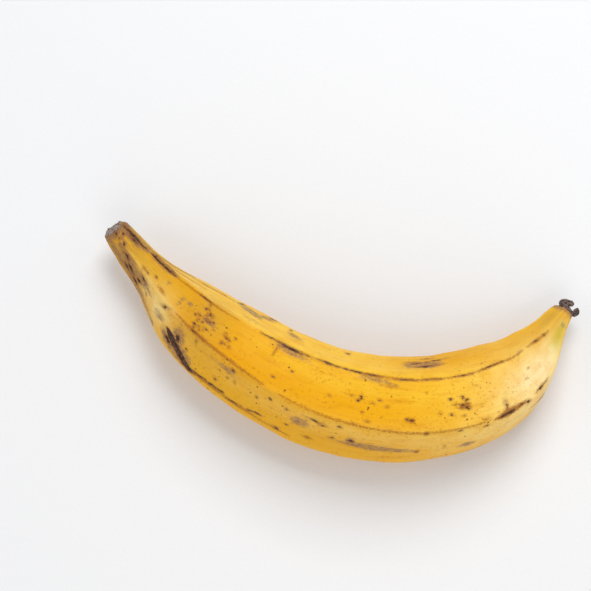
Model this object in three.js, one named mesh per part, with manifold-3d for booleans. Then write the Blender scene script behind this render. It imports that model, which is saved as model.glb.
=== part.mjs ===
// A ripe plantain, picked and laid on its side: a long five-cornered fruit that bows like a sickle,
// with the cut stalk at one end and the dried remains of its flower at the other.
//
// Millimetres, +Z up. The stalk points to -X, the flower end to +X, and the outer curve of the bow
// faces -Y. The origin is on the table, under the middle of the fruit's box.
//
// The peel is one closed skin: five-cornered sections threaded on a curved spine. It is then
// laid down as it would come to rest, and pressed flat by its own weight where it touches.

import * as THREE from 'three';
import { ConvexHull } from 'three/addons/math/ConvexHull.js';
import { mergeVertices } from 'three/addons/utils/BufferGeometryUtils.js';
import Module from 'manifold-3d';

const wasm = await Module();
wasm.setup();

// ---------------------------------------------------------------- driving dimensions

const CHORD = 221.4; // straight from the middle of the stalk's cut to the flower end
const BOW = 67; // how far the spine swings out from that straight line
const STALK_RISE = 5; // the stalk's end above the middle of the spine
const TIP_DROP = 2.5; // the flower end below it

const STALK_RADIUS = 6.3; // at the cut
const NECK_RADIUS = 10.7; // where the stalk starts to widen into the fruit
const THROAT_RADIUS = 18; // halfway up that widening
const SHOULDER_RADIUS = 22.3;
const FLANK_RADIUS = 23.9; // on either side of the thickest place
const BELLY_RADIUS = 24.8; // the thickest place, from the spine to a ridge
const HAUNCH_RADIUS = 20.9; // where the flower end starts to taper
const WAIST_RADIUS = 8.8; // behind the blunt tip
const TIP_RADIUS = 5.1;

const CUT_LEAN = THREE.MathUtils.degToRad(24); // the knife went through the stalk at a slant
const CUT_LEAN_REACH = 14; // the stretch of stalk over which the rings lean with the cut
const CUT_ROUNDING = 1.5; // the worn rim of the cut
const TIP_ROUNDING = 1.6; // the soft shoulder round the flower's seat

const FACE_FLATNESS = 0.66; // 0 is a round section, 1 is a pentagon with straight sides
const STALK_FLATNESS = 0.35;
const RIDGE_SOFTNESS = 0.12; // how much of the side's width a ridge's rounding takes

const SEAT_GAP = 0.3; // between the peel and the dried flower
const PRESSED = 0.5; // how deep the weight of the fruit flattens the skin it lies on

const COLLAR_MARGIN = 0.1; // the flower's dried ring stands this far inside its seat
const COLLAR_HEIGHT = 2;
const FLAP_THICKNESS = 1.8; // the broad folded lobe
const FLAP_REACH = 5.8; // from the seat to the lobe's end
const FLAP_TILT = THREE.MathUtils.degToRad(10);
const HOOK_RADIUS = 1.1; // the curled lobe
const HOOK_REACH = 5.2; // sideways from the flower's axis
const HOOK_CURL = 3.8; // from the seat to the curl's end

// How finely the skin is faceted.
const FACE_STEPS = 8; // around, from one ridge to the next
const RING_COUNT = 58; // along
const ROUNDING_STEPS = 4;
const END_CROWDING = 0.5; // 0 spaces the rings evenly, 1 closes them right up at both ends
const RIDGE_CROWDING = 0.5; // the same for the points of a ring, towards the ridges
const SPINE_DIVISIONS = 1000;
const COLLAR_SIDES = 24;
const FLAP_EDGE_STEPS = 36;
const HOOK_STEPS = 16;
const HOOK_SIDES = 10;
const WELD = 1e-4; // corners closer together than this are one corner

// ---------------------------------------------------------------- the rule of the shape

// Stations along the spine, each at its share of the length, and a smooth curve through them.
function profile(stations) {
  const shares = stations.map(([share]) => share);
  const values = stations.flatMap(([, ...at]) => at);
  const curve = new THREE.CubicInterpolant(shares, values, stations[0].length - 1);
  return (share) => Array.from(curve.evaluate(share));
}

const radiusAt = profile([
  [0, STALK_RADIUS],
  [0.12, NECK_RADIUS],
  [0.2, THROAT_RADIUS],
  [0.3, SHOULDER_RADIUS],
  [0.42, FLANK_RADIUS],
  [0.57, BELLY_RADIUS],
  [0.7, FLANK_RADIUS],
  [0.82, HAUNCH_RADIUS],
  [0.89, (HAUNCH_RADIUS + WAIST_RADIUS) / 2],
  [0.945, WAIST_RADIUS],
  [1, TIP_RADIUS],
]);

const flatnessAt = profile([
  [0, STALK_FLATNESS],
  [0.14, FACE_FLATNESS],
  [1, FACE_FLATNESS],
]);

// The five ridges, as angles round the spine: 0 is the inner side of the bow, 90 is straight up.
// They wind slowly from the stalk to the flower. In order: inner, upper, outer, lower outer, lower inner.
const ridgesAt = profile([
  [0, -8, 46, 110, 197, 275],
  [0.22, -4, 69, 116, 190, 278],
  [0.5, 12, 69, 127, 200, 286],
  [1, 18, 96, 152, 221, 302],
]);

// The spine: shares of the chord and of the bow, and the height of each point.
const spine = new THREE.CatmullRomCurve3(
  [
    [0, 0, STALK_RISE],
    [0.1, 0.293, STALK_RISE * 0.56],
    [0.273, 0.693, STALK_RISE * 0.25],
    [0.523, 1, 0],
    [0.733, 0.957, 0],
    [0.899, 0.645, -TIP_DROP * 0.4],
    [1, 0.04, -TIP_DROP],
  ].map(([alongChord, outward, height]) => new THREE.Vector3(CHORD * alongChord, -BOW * outward, height)),
);
spine.arcLengthDivisions = SPINE_DIVISIONS;
const SPINE_LENGTH = spine.getLength();

// The point of the spine at a share of its length, and the axes of the section there.
function sectionFrame(share) {
  const along = spine.getTangentAt(share);
  const inward = new THREE.Vector3(0, 0, 1).cross(along).normalize();
  const upward = along.clone().cross(inward);
  return { centre: spine.getPointAt(share), along, inward, upward };
}

// The outline of a section, as angles and shares of the ridge radius. The points gather at the ridges.
function sectionOutline(share) {
  const ridges = ridgesAt(share);
  const [flatness] = flatnessAt(share);
  const outline = [];
  ridges.forEach((start, i) => {
    const end = i < ridges.length - 1 ? ridges[i + 1] : ridges[0] + 360;
    const gap = THREE.MathUtils.degToRad(end - start);
    const hollow = flatness * (1 - Math.cos(gap / 2));
    for (let step = 0; step < FACE_STEPS; step += 1) {
      const t = step / FACE_STEPS;
      const across = t - (RIDGE_CROWDING * Math.sin(2 * Math.PI * t)) / (2 * Math.PI);
      const rise = Math.hypot(Math.sin(Math.PI * across), RIDGE_SOFTNESS) - RIDGE_SOFTNESS;
      const fullRise = Math.hypot(1, RIDGE_SOFTNESS) - RIDGE_SOFTNESS;
      outline.push({
        angle: THREE.MathUtils.degToRad(start) + gap * across,
        reach: 1 - (hollow * rise) / fullRise,
      });
    }
  });
  return outline;
}

// ---------------------------------------------------------------- the peel

// Where the rings stand: a rounded rim at the cut, the body, and a soft shoulder at the flower end.
// Each has its distance from the cut along the spine, and how far it is drawn in from the ridge radius.
function ringStations() {
  const rounding = (size, step) => {
    const turn = (step / ROUNDING_STEPS) * (Math.PI / 2);
    return { back: size * (1 - Math.cos(turn)), inset: size * (1 - Math.sin(turn)) };
  };
  const stations = [];
  for (let step = 0; step < ROUNDING_STEPS; step += 1) {
    const { back, inset } = rounding(CUT_ROUNDING, step);
    stations.push({ distance: back, inset });
  }
  for (let step = 0; step <= RING_COUNT; step += 1) {
    const t = step / RING_COUNT;
    const eased = t - (END_CROWDING * Math.sin(2 * Math.PI * t)) / (2 * Math.PI);
    const distance = THREE.MathUtils.lerp(CUT_ROUNDING, SPINE_LENGTH - TIP_ROUNDING, eased);
    stations.push({ distance, inset: 0 });
  }
  for (let step = ROUNDING_STEPS - 1; step >= 0; step -= 1) {
    const { back, inset } = rounding(TIP_ROUNDING, step);
    stations.push({ distance: SPINE_LENGTH - back, inset });
  }
  return stations;
}

// One ring of the skin. Near the stalk's end the ring leans with the slanted cut.
function ringPoints({ distance, inset }) {
  const share = distance / SPINE_LENGTH;
  const { centre, along, inward, upward } = sectionFrame(share);
  const [ridgeRadius] = radiusAt(share);
  const lean = Math.tan(CUT_LEAN) * (1 - THREE.MathUtils.smoothstep(distance, 0, CUT_LEAN_REACH));
  return sectionOutline(share).map(({ angle, reach }) => {
    const radius = (ridgeRadius - inset) * reach;
    const height = radius * Math.sin(angle);
    return centre
      .clone()
      .addScaledVector(inward, radius * Math.cos(angle))
      .addScaledVector(upward, height)
      .addScaledVector(along, height * lean);
  });
}

// The closed skin: the rings joined in order, and a flat face over each end.
function skinGeometry() {
  const rings = ringStations().map(ringPoints);
  const around = rings[0].length;
  const points = rings.flat();
  const triangles = [];
  for (let ring = 0; ring < rings.length - 1; ring += 1) {
    for (let i = 0; i < around; i += 1) {
      const a = ring * around + i;
      const b = ring * around + ((i + 1) % around);
      triangles.push(a, b, a + around, b, b + around, a + around);
    }
  }
  const cut = points.push(spine.getPointAt(0)) - 1;
  const seat = points.push(spine.getPointAt(1)) - 1;
  const lastRing = (rings.length - 1) * around;
  for (let i = 0; i < around; i += 1) {
    const next = (i + 1) % around;
    triangles.push(cut, next, i);
    triangles.push(seat, lastRing + i, lastRing + next);
  }
  const geometry = new THREE.BufferGeometry().setFromPoints(points);
  geometry.setIndex(triangles);
  return geometry;
}

// ---------------------------------------------------------------- the dried flower

// It is made round its own axis, +Z away from the seat, +X to the inner side of the bow.
const COLLAR_RADIUS = TIP_RADIUS - TIP_ROUNDING - COLLAR_MARGIN;

function collarGeometry() {
  const outline = [
    [0, 0],
    [0.96, 0],
    [1, 0.3],
    [0.86, 0.85],
    [0.5, 1],
    [0, 1],
  ].map(([out, up]) => new THREE.Vector2(COLLAR_RADIUS * out, COLLAR_HEIGHT * up));
  return new THREE.LatheGeometry(outline, COLLAR_SIDES).rotateX(Math.PI / 2);
}

function flapGeometry() {
  const corners = [
    [0.66, 0.2],
    [1.1, 0.4],
    [0.86, 0.72],
    [-0.22, 0.92],
    [-0.36, 0.78],
    [0.12, 0.45],
    [-0.2, 0.2],
  ].map(([aside, up]) => new THREE.Vector2(COLLAR_RADIUS * aside, FLAP_REACH * up));
  const edge = new THREE.SplineCurve([...corners, corners[0]]);
  const shape = new THREE.Shape(edge.getPoints(FLAP_EDGE_STEPS).slice(0, -1));
  const bevel = FLAP_THICKNESS / 4;
  const geometry = new THREE.ExtrudeGeometry(shape, {
    depth: FLAP_THICKNESS - 2 * bevel,
    bevelThickness: bevel,
    bevelSize: bevel,
    bevelSegments: 2,
  });
  return geometry.translate(0, 0, bevel - FLAP_THICKNESS / 2).rotateX(Math.PI / 2 - FLAP_TILT);
}

function hookGeometry() {
  const path = new THREE.CatmullRomCurve3(
    [
      [0.2, -0.3, 0.05],
      [0.72, -0.2, 0],
      [1, 0, 0.32],
      [0.96, 0.3, 0.8],
      [0.76, 0.5, 1],
    ].map(([aside, height, up]) => {
      const rise = HOOK_RADIUS + (HOOK_CURL - HOOK_RADIUS) * up;
      return new THREE.Vector3(-HOOK_REACH * aside, height, rise);
    }),
  );
  const section = new THREE.Shape();
  section.absarc(0, 0, HOOK_RADIUS, 0, 2 * Math.PI);
  return new THREE.ExtrudeGeometry(section, {
    steps: HOOK_STEPS,
    curveSegments: HOOK_SIDES,
    extrudePath: path,
    bevelEnabled: false,
  });
}

// ---------------------------------------------------------------- joining and cutting

function solidOf(geometry) {
  const bare = new THREE.BufferGeometry();
  bare.setAttribute('position', geometry.getAttribute('position'));
  bare.setIndex(geometry.getIndex());
  const merged = mergeVertices(bare, WELD);
  const vertProperties = merged.getAttribute('position').array;
  const triVerts = new Uint32Array(merged.getIndex().array);
  return new wasm.Manifold(new wasm.Mesh({ numProp: 3, vertProperties, triVerts }));
}

function geometryOf(solid) {
  const { vertProperties, triVerts } = solid.getMesh();
  const geometry = new THREE.BufferGeometry();
  geometry.setAttribute('position', new THREE.BufferAttribute(vertProperties, 3));
  geometry.setIndex(new THREE.BufferAttribute(triVerts, 1));
  geometry.computeVertexNormals();
  return geometry;
}

// ---------------------------------------------------------------- laying it down

// The middle of the mass of a closed, even solid: its tetrahedra from the origin, by their volume.
function massCentre(geometry) {
  const position = geometry.getAttribute('position');
  const index = geometry.getIndex();
  const centre = new THREE.Vector3();
  let total = 0;
  for (let i = 0; i < index.count; i += 3) {
    const [a, b, c] = [0, 1, 2].map((k) => new THREE.Vector3().fromBufferAttribute(position, index.getX(i + k)));
    const volume = a.dot(b.clone().cross(c));
    centre.addScaledVector(a.add(b).add(c), volume / 4);
    total += volume;
  }
  return centre.divideScalar(total);
}

// Whether a point of a hull face's plane lies inside that face.
function isOver(face, point) {
  let edge = face.edge;
  do {
    const along = edge.head().point.clone().sub(edge.tail().point);
    const out = along.cross(face.normal);
    if (point.clone().sub(edge.head().point).dot(out) > 0) return false;
    edge = edge.next;
  } while (edge !== face.edge);
  return true;
}

// The turn that brings the fruit to rest: it lies on the face of its convex hull that is under
// the middle of its mass, and of those faces on the one that already looks down the most.
function restingTurn(geometry) {
  const position = geometry.getAttribute('position');
  const points = Array.from({ length: position.count }, (_, i) =>
    new THREE.Vector3().fromBufferAttribute(position, i),
  );
  const middle = massCentre(geometry);
  const faces = new ConvexHull().setFromPoints(points).faces;
  const stable = faces.filter((face) => {
    const below = middle.clone().addScaledVector(face.normal, -face.distanceToPoint(middle));
    return isOver(face, below);
  });
  const down = stable.reduce((best, face) => (face.normal.z < best.normal.z ? face : best)).normal;
  return new THREE.Quaternion().setFromUnitVectors(down, new THREE.Vector3(0, 0, -1));
}

// Cuts away what the fruit's weight presses flat.
function pressedFlat(geometry) {
  geometry.computeBoundingBox();
  const table = new THREE.BoxGeometry(3 * CHORD, 3 * CHORD, CHORD);
  table.translate(0, 0, geometry.boundingBox.min.z + PRESSED - CHORD / 2);
  return geometryOf(solidOf(geometry).subtract(solidOf(table)));
}

// ---------------------------------------------------------------- the plantain

const peelMaterial = new THREE.MeshStandardMaterial({ color: '#e6b13c', roughness: 0.5, metalness: 0 });
const dryMaterial = new THREE.MeshStandardMaterial({ color: '#3a2b24', roughness: 0.85, metalness: 0 });

function makeFruit(turn) {
  const geometry = skinGeometry().applyQuaternion(turn);
  const fruit = new THREE.Mesh(pressedFlat(geometry), peelMaterial);
  fruit.name = 'fruit';
  return fruit;
}

function makeFlower() {
  const pieces = [collarGeometry(), flapGeometry(), hookGeometry()].map(solidOf);
  const geometry = geometryOf(pieces.reduce((joined, piece) => joined.add(piece)));
  const flower = new THREE.Mesh(geometry, dryMaterial);
  flower.name = 'flower_remnant';
  const { centre, along, inward, upward } = sectionFrame(1);
  flower.position.copy(centre).addScaledVector(along, SEAT_GAP);
  flower.setRotationFromMatrix(new THREE.Matrix4().makeBasis(inward, upward, along));
  return flower;
}

const turn = restingTurn(skinGeometry());
const flowerEnd = new THREE.Group().add(makeFlower());
flowerEnd.quaternion.copy(turn);

const plantain = new THREE.Group().add(makeFruit(turn), flowerEnd);
const box = new THREE.Box3().setFromObject(plantain, true);
const middle = box.getCenter(new THREE.Vector3());
plantain.position.set(-middle.x, -middle.y, -box.min.z);

export default plantain;
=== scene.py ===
# %% [markdown]
# # A ripe plantain, laid on its side
#
# The object is one fruit: a long peel with five blunt ridges, bowed like a sickle, with a cut
# stalk at one end and the shrivelled flower at the other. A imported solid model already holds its
# shape and its place on the table. This file leaves that model alone, wraps a fine skin over it,
# and gives the skin the marks and colours of a fruit that has travelled and ripened.
#
# The first cell loads the model. Its box is kept, because the finished skin may not outgrow it.

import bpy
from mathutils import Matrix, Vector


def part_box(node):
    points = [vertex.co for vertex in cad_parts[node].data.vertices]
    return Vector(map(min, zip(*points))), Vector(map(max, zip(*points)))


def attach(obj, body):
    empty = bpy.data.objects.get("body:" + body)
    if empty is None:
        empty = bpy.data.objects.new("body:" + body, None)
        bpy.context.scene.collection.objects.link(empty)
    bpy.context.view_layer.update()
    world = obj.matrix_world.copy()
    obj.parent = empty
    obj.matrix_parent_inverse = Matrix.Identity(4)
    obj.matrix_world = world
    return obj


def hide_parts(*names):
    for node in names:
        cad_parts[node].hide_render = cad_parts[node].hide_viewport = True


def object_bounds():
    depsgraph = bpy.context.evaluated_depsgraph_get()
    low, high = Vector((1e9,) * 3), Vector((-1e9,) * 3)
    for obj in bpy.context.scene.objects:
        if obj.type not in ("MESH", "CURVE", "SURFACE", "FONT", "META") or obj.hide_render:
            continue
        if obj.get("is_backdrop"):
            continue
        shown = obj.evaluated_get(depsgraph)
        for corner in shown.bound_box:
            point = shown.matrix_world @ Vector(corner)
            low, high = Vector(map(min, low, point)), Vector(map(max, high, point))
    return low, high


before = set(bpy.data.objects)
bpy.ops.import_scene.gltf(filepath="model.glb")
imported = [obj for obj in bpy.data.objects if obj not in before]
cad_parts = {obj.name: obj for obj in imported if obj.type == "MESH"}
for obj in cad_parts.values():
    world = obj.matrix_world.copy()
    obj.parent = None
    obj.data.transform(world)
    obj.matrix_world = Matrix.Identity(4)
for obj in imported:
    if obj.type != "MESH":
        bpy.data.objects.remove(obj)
cad_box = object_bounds()
print("packed nodes:", sorted(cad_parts))

# %% Libraries and units
import math

import bmesh
import bpy
import numpy as np
from mathutils import Matrix, Vector, noise
from mathutils.bvhtree import BVHTree

MM = 0.001  # everything in Blender is in metres

# %% [markdown]
# ## Reading the solid
#
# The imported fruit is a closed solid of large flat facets. A finer skin could be had by
# subdividing those facets, but then the rows of the mesh would run any way they like, and marks
# that follow the fruit's length would have nothing to follow. So the skin is wrapped afresh: a
# spine is walked through the inside of the solid, and from each point of it a fan of rays finds
# the wall. That gives rows round the fruit and columns along it, and every later step can speak
# of places on the peel as "so far along, on this side".

# %% A tree of the solid for ray casting


def tree_of(node):
    """The CAD node as a ray-casting tree. Its loose triangles are merged in a copy first."""
    mesh = bmesh.new()
    mesh.from_mesh(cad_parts[node].data)
    bmesh.ops.remove_doubles(mesh, verts=mesh.verts, dist=0.001 * MM)
    tree = BVHTree.FromBMesh(mesh)
    mesh.free()
    return tree


fruit_tree = tree_of("fruit")

# %% Sections across the fruit


def axes_across(along):
    """Two unit vectors across a direction: one level, one as upright as can be."""
    level = Vector((0, 0, 1)).cross(along).normalized()
    return level, along.cross(level)


def reach_around(centre, along, angles):
    """How far the wall is from a point inside, at each angle round a direction."""
    level, upright = axes_across(along)
    reaches = []
    for angle in angles:
        way = level * math.cos(angle) + upright * math.sin(angle)
        reaches.append(fruit_tree.ray_cast(centre, way)[3])
    return np.array(reaches, dtype=float)


def middle_of_section(centre, along, count=48):
    """The middle of the section's area, seen from any point inside it."""
    angles = np.linspace(0, 2 * math.pi, count, endpoint=False)
    reaches = reach_around(centre, along, angles)
    level, upright = axes_across(along)
    weight = (reaches**3 / (reaches**2).sum()) * 2 / 3
    return centre + level * float(weight @ np.cos(angles)) + upright * float(weight @ np.sin(angles))


# %% Walk the spine
WALK_STEP = 2.5 * MM
STALK_MARGIN = 6 * MM  # the walk stops this far from the slanted cut
TIP_MARGIN = 3 * MM  # and this far from the flower's seat


def walk(start, along, margin):
    """Middles of sections from a start to one end, and where the end face is hit."""
    middles = [start]
    while True:
        face, normal, _, left = fruit_tree.ray_cast(middles[-1], along)
        if left < margin + WALK_STEP:
            return middles, face, normal
        middle = middle_of_section(middles[-1] + along * WALK_STEP, along)
        along = (along + 2 * (middle - middles[-1]).normalized()).normalized()
        middles.append(middle)


def find_inside():
    """A point inside the belly: halfway through the thickest place across the box's middle."""
    low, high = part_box("fruit")
    best = None
    for y in np.linspace(low.y, high.y, 60):
        top, _, _, depth = fruit_tree.ray_cast(Vector((0, y, high.z + MM)), Vector((0, 0, -1)))
        bottom, _, _, height = fruit_tree.ray_cast(Vector((0, y, low.z - MM)), Vector((0, 0, 1)))
        if top and bottom and (best is None or top.z - bottom.z > best[0]):
            best = (top.z - bottom.z, (top + bottom) / 2)
    return best[1]


belly = middle_of_section(find_inside(), Vector((1, 0, 0)))
to_stalk, cut_middle, cut_normal = walk(belly, Vector((-1, 0, 0)), STALK_MARGIN)
to_tip, seat_middle, seat_normal = walk(belly, Vector((1, 0, 0)), TIP_MARGIN)
walked = [cut_middle] + to_stalk[:0:-1] + to_tip + [seat_middle]
print("spine points walked:", len(walked))

# %% Smooth the spine


def smooth_rows(rows, spread):
    """Gaussian smoothing down the rows of an array, with both end rows held."""
    reach = int(3 * spread) + 1
    weights = np.exp(-0.5 * (np.arange(-reach, reach + 1) / spread) ** 2)
    weights /= weights.sum()
    before = 2 * rows[0] - rows[reach:0:-1]
    after = 2 * rows[-1] - rows[-2 : -reach - 2 : -1]
    padded = np.concatenate([before, rows, after])
    return sum(w * padded[i : i + len(rows)] for i, w in enumerate(weights))


def along_curve(points, spacing):
    """The same curve with a point every so often, and its length."""
    gaps = np.linalg.norm(np.diff(points, axis=0), axis=1)
    at = np.concatenate([[0], np.cumsum(gaps)])
    count = max(2, round(at[-1] / spacing) + 1)
    even = np.linspace(0, at[-1], count)
    return np.stack([np.interp(even, at, points[:, k]) for k in range(3)], axis=1), at[-1]


SPINE_SPACING = 0.5 * MM
spine, _ = along_curve(np.array(walked), SPINE_SPACING)
spine = smooth_rows(spine, spread=6 * MM / SPINE_SPACING)
spine, LENGTH = along_curve(spine, SPINE_SPACING)
spine_at = np.linspace(0, LENGTH, len(spine))
spine_way = np.gradient(spine, axis=0)
spine_way /= np.linalg.norm(spine_way, axis=1)[:, None]
print("length along the middle: %.1f mm" % (LENGTH / MM))


def spine_point(distance):
    return Vector([np.interp(distance, spine_at, spine[:, k]) for k in range(3)])


def spine_direction(distance):
    return Vector([np.interp(distance, spine_at, spine_way[:, k]) for k in range(3)]).normalized()


# %% [markdown]
# ## Finding the five ridges
#
# On a plantain the ridges aren't just shape. Fibres run along them, they bruise first, and the
# dark lines of a ripe fruit follow them. So the columns of the skin are lined up with the ridges:
# column 0 lies on the inner ridge, and each side of the fruit gets the same number of columns.
# A ridge shows in a section as the place where the wall stands further out than its
# neighbourhood, and it is followed from the belly, where it is clearest, out to both ends.

# %% Follow the ridges
SIDES = 5
LOOKS = 240  # rays in a section when looking for ridges
LOOK_SPACING = 4 * MM
NEIGHBOURS = 15  # degrees to the places on both sides that a ridge is compared with
PEAK = 0.01  # strengths this close to the strongest still count towards a ridge's place
LEAST_APART = math.radians(35)
FIRST_AFTER = math.radians(-40)  # the inner ridge is the first one past this angle
FOLLOW_WITHIN = math.radians(5)  # how far a ridge may wander from one section to the next
TRIES = 61  # angles looked at within that range
RIDGE_SPREAD = 2.5  # sections over which a ridge's path is evened out


def cornerness(reaches):
    """How much each direction stands out from those a few degrees to its left and right."""
    lag = round(LOOKS * NEIGHBOURS / 360)
    around = (np.roll(reaches, lag) + np.roll(reaches, -lag)) / 2
    return (reaches - around) / reaches.mean()


def sharpen(strength, angle, search):
    """The angle of the strongest corner within a search range of an angle."""
    angles = angle + np.linspace(-search, search, TRIES)
    turn = np.mod(angles / (2 * math.pi) * LOOKS, LOOKS)
    lower = np.floor(turn).astype(int)
    share = turn - lower
    values = strength[lower % LOOKS] * (1 - share) + strength[(lower + 1) % LOOKS] * share
    weight = np.maximum(values - values.max() + PEAK, 0)
    return float((weight * angles).sum() / weight.sum())


look_angles = np.linspace(0, 2 * math.pi, LOOKS, endpoint=False)
look_at = np.arange(STALK_MARGIN, LENGTH - TIP_MARGIN, LOOK_SPACING)
looks = [cornerness(reach_around(spine_point(d), spine_direction(d), look_angles)) for d in look_at]
start = len(look_at) // 2

first = []
for k in np.argsort(-looks[start]):
    angle = (look_angles[k] + math.pi) % (2 * math.pi) - math.pi
    if all(abs(math.remainder(angle - other, 2 * math.pi)) > LEAST_APART for other in first):
        first.append(angle)
    if len(first) == SIDES:
        break
first = sorted(first, key=lambda angle: (angle - FIRST_AFTER) % (2 * math.pi))
first = np.unwrap(first)
ridge_angle = np.zeros((len(look_at), SIDES))
ridge_angle[start] = first
for step in (1, -1):
    k = start + step
    while 0 <= k < len(look_at):
        before = ridge_angle[k - step]
        ridge_angle[k] = [sharpen(looks[k], angle, FOLLOW_WITHIN) for angle in before]
        k += step
ridge_angle = smooth_rows(ridge_angle, RIDGE_SPREAD)
print("ridges at the belly, degrees:", np.degrees(ridge_angle[start]).round(1))

# %% [markdown]
# ## The skin
#
# Rays are now cast on the finished pattern: about 330 rows along, 250 columns around. Close to
# the stalk the rows lean over until they lie in the plane of the slanted knife cut. The facets of
# the solid are faint steps in the rays' lengths, and a light smoothing takes them out.

# %% Cast the rows
SIDE_COLUMNS = 50
COLUMNS = SIDES * SIDE_COLUMNS
ROW_SPACING = 0.85 * MM
END_STRETCH = 6 * MM  # the rows draw closer together over this stretch at both ends
END_ROWS = 14
CUT_LEAN_REACH = 14 * MM
FIRST_ROW = 0.05 * MM
END_CROWDING = 1.7  # above 1 the rows crowd towards the very end


def smoothstep(low, high, value):
    t = np.clip((value - low) / (high - low), 0, 1)
    return t * t * (3 - 2 * t)


end_shares = np.linspace(0, 1, END_ROWS, endpoint=False) ** END_CROWDING
end_distances = FIRST_ROW + (END_STRETCH - FIRST_ROW) * end_shares
body_count = round((LENGTH - 2 * END_STRETCH) / ROW_SPACING) + 1
row_at = np.concatenate(
    [
        end_distances,
        np.linspace(END_STRETCH, LENGTH - END_STRETCH, body_count),
        (LENGTH - end_distances)[::-1],
    ]
)


def row_plane(distance):
    """The direction a row is cast across: along the spine, leaning over with the cut."""
    lean = 1 - float(smoothstep(0, CUT_LEAN_REACH, distance))
    along = spine_direction(distance)
    return along.lerp(-cut_normal, lean).normalized()


def column_angles(distance):
    """The angle of each column: even steps from one ridge to the next."""
    ridges = [np.interp(distance, look_at, ridge_angle[:, k]) for k in range(SIDES)]
    ridges.append(ridges[0] + 2 * math.pi)
    return np.interp(np.arange(COLUMNS) / SIDE_COLUMNS, np.arange(SIDES + 1), ridges)


reach = np.zeros((len(row_at), COLUMNS))
centre = np.zeros((len(row_at), 3))
way = np.zeros((len(row_at), COLUMNS, 3))
for row, distance in enumerate(row_at):
    along = row_plane(distance)
    angles = column_angles(distance)
    level, upright = axes_across(along)
    reach[row] = reach_around(spine_point(distance), along, angles)
    centre[row] = spine_point(distance)
    way[row] = np.cos(angles)[:, None] * np.array(level) + np.sin(angles)[:, None] * np.array(upright)
print("rows and columns:", reach.shape, "missed rays:", int(np.isnan(reach).sum()))

# %% Smooth the facets away
FACET_ALONG = 3.2 * MM / ROW_SPACING
FACET_AROUND = 1.8  # columns
END_AROUND = 1.0  # columns, close to both ends, where the shape is crisper
AROUND_REACH = 8  # columns counted to either side
CRISP = (3 * MM, 9 * MM)  # distances from an end over which the crisp smoothing gives way


def smooth_around(rows, spread):
    """Gaussian smoothing round each row, which closes on itself."""
    shifts = range(-AROUND_REACH, AROUND_REACH + 1)
    weights = [math.exp(-0.5 * (k / spread) ** 2) for k in shifts]
    total = sum(weights)
    return sum(w / total * np.roll(rows, k, axis=1) for k, w in zip(shifts, weights))


smoothed = smooth_around(smooth_rows(reach, FACET_ALONG), FACET_AROUND)
keep_sharp = 1 - smoothstep(*CRISP, np.minimum(row_at, LENGTH - row_at))[:, None]
reach = smoothed * (1 - keep_sharp) + smooth_around(reach, END_AROUND) * keep_sharp
skin = centre[:, None] + way * reach[:, :, None]

# %% [markdown]
# ## Relief of the peel
#
# A real peel is never as even as the solid. Its ridges stand up as narrow crests, its sides have
# shallow dents, and at both ends it has dried and pulled into long wrinkles. All of this is moved
# in the mesh itself, so that it shows in the outline and in the highlights. Noise textures on a
# bump node could fake it, but they would leave the outline smooth.
#
# Places on the peel are given in two numbers from here on: how many millimetres along from the
# cut, and which side. Side 0 is the inner ridge, 1 the upper ridge, 2 the outer ridge and 3 the
# lower one; 1.5 is the middle of the face between the upper and the outer ridge.

# %% Coordinates on the peel
ALONG = np.repeat((row_at / MM)[:, None], COLUMNS, axis=1)
SIDE = np.repeat((np.arange(COLUMNS) / SIDE_COLUMNS)[None], len(row_at), axis=0)
END = LENGTH / MM
around_steps = np.linalg.norm(skin - np.roll(skin, 1, axis=1), axis=2)
SIDE_WIDTH = around_steps.sum(axis=1, keepdims=True) / SIDES / MM
print("a side is %.1f mm wide at the belly" % SIDE_WIDTH.max())


def off_side(side):
    """Millimetres round the fruit from a place on it, the short way round."""
    return ((SIDE - side + SIDES / 2) % SIDES - SIDES / 2) * SIDE_WIDTH


def outward(grid):
    """The unit normals of a closed grid of rows, pointing away from its middle."""
    along_it = np.gradient(grid, axis=0)
    around_it = np.roll(grid, -1, axis=1) - np.roll(grid, 1, axis=1)
    normals = np.cross(along_it, around_it)
    normals /= np.linalg.norm(normals, axis=2, keepdims=True)
    outwards = ((grid - grid.mean(axis=1, keepdims=True)) * normals).sum()
    return normals if outwards > 0 else -normals


def rough(points, size, depth=3, seed=0.0):
    """Fractal noise in about -1..1, with lumps of a given size in millimetres."""
    flat = points.reshape(-1, 3) / (size * MM)
    offset = Vector((seed, 2.7 * seed, -1.3 * seed))
    values = [noise.fractal(Vector(p) + offset, 1.0, 2.0, depth) for p in flat]
    return np.array(values).reshape(points.shape[:-1])


# %% [markdown]
# ## The marks of ripening
#
# The brown lines, bruises and freckles make this fruit this fruit, so those of the side that lies
# uppermost are placed one by one. They could be painted as an image, but a painted image
# blurs close up. Here each mark is stored on the mesh as a soft distance in millimetres: above zero
# inside the mark, below zero outside. The material adds fine noise to that distance and only then
# cuts it off, which gives a crisp and ragged edge at any size. There are three layers: dark for
# tissue that has gone black, rust for orange-brown scars, and smudge for grey bruises under the
# skin. Where marks of one layer overlap, the larger distance wins, so the order in which they are
# drawn doesn't matter.

# %% Ways to draw a mark
FAR_OUTSIDE = -4.0  # millimetres; further from a mark than this no longer matters
layers = {name: np.full(ALONG.shape, FAR_OUTSIDE) for name in ("dark", "rust", "smudge")}


def draw_spot(layer, along, side, length, width, turn=0):
    """An oval mark, sizes in millimetres, turned against the fruit's length by degrees."""
    forward, across = ALONG - along, off_side(side)
    cos, sin = math.cos(math.radians(turn)), math.sin(math.radians(turn))
    u = (forward * cos + across * sin) / (length / 2)
    v = (across * cos - forward * sin) / (width / 2)
    inside = (1 - np.hypot(u, v)) * min(length, width) / 2
    layers[layer] = np.maximum(layers[layer], inside)


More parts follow.
